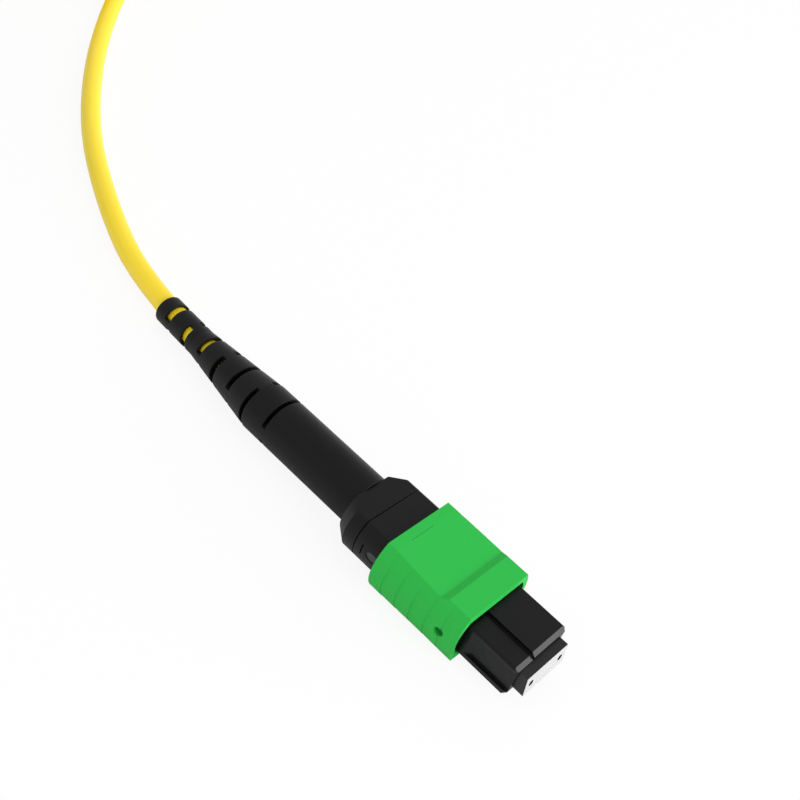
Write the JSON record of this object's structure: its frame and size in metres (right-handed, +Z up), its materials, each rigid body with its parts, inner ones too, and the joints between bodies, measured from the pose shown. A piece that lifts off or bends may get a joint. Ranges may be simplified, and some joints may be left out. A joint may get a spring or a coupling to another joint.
{
  "type": "multi-fibre push-on patch cord",
  "caption": "Multi-fibre push-on connector with a green sliding sleeve and slotted boot on a yellow round patch cord, with a matching connector on the far end.",
  "frame": {"origin": "middle of the face on which the sleeve's front pad rests, on the floor", "axes": "+X from the cord towards the ferrule's end face, +Z up from the floor, +Y to the left of the connector"},
  "size_m": [0.1673, 0.0798, 0.0081],
  "materials": {
    "sleeve_green": "satin",
    "housing_black": "satin",
    "ferrule_grey": "satin, polished end face",
    "fibre_ribbon": "clear coated",
    "boot_black": "matte",
    "spring_steel": "drawn wire",
    "crimp_metal": "plated",
    "yarn_yellow": "woven strands",
    "jacket_yellow": "satin"
  },
  "bodies": {
    "housing": {"plug_frame": "housing_black", "rear_body": "housing_black", "rear_cap": "housing_black", "crimp_ring": "crimp_metal", "aramid_yarn": "yarn_yellow", "strain_boot": "boot_black", "push_spring": "spring_steel", "return_spring_left": "spring_steel", "return_spring_right": "spring_steel", "cord_jacket": "jacket_yellow", "cord_coil": "jacket_yellow", "cord_far_lead": "jacket_yellow", "far_coupling_sleeve": "sleeve_green", "far_plug_frame": "housing_black", "far_ferrule": "ferrule_grey", "far_rear_body": "housing_black", "far_rear_cap": "housing_black", "far_strain_boot": "boot_black"},
    "sleeve": {"coupling_sleeve": "sleeve_green"},
    "ferrule": {"ferrule": "ferrule_grey", "fibre_ribbon": "fibre_ribbon", "ferrule_boot": "ferrule_grey", "pin_spacer": "ferrule_grey"}
  },
  "joints": [
    {"name": "sleeve_slide", "type": "slide", "parent": "housing", "child": "sleeve", "axis": [-1, 0, 0], "range_m": [0, 0.0018], "stiffness_N_per_m": 900, "deforming": ["return_spring_left", "return_spring_right"]},
    {"name": "ferrule_float", "type": "slide", "parent": "housing", "child": "ferrule", "axis": [-1, 0, 0], "range_m": [0, 0.0005], "stiffness_N_per_m": 1500, "deforming": ["push_spring"]}
  ]
}
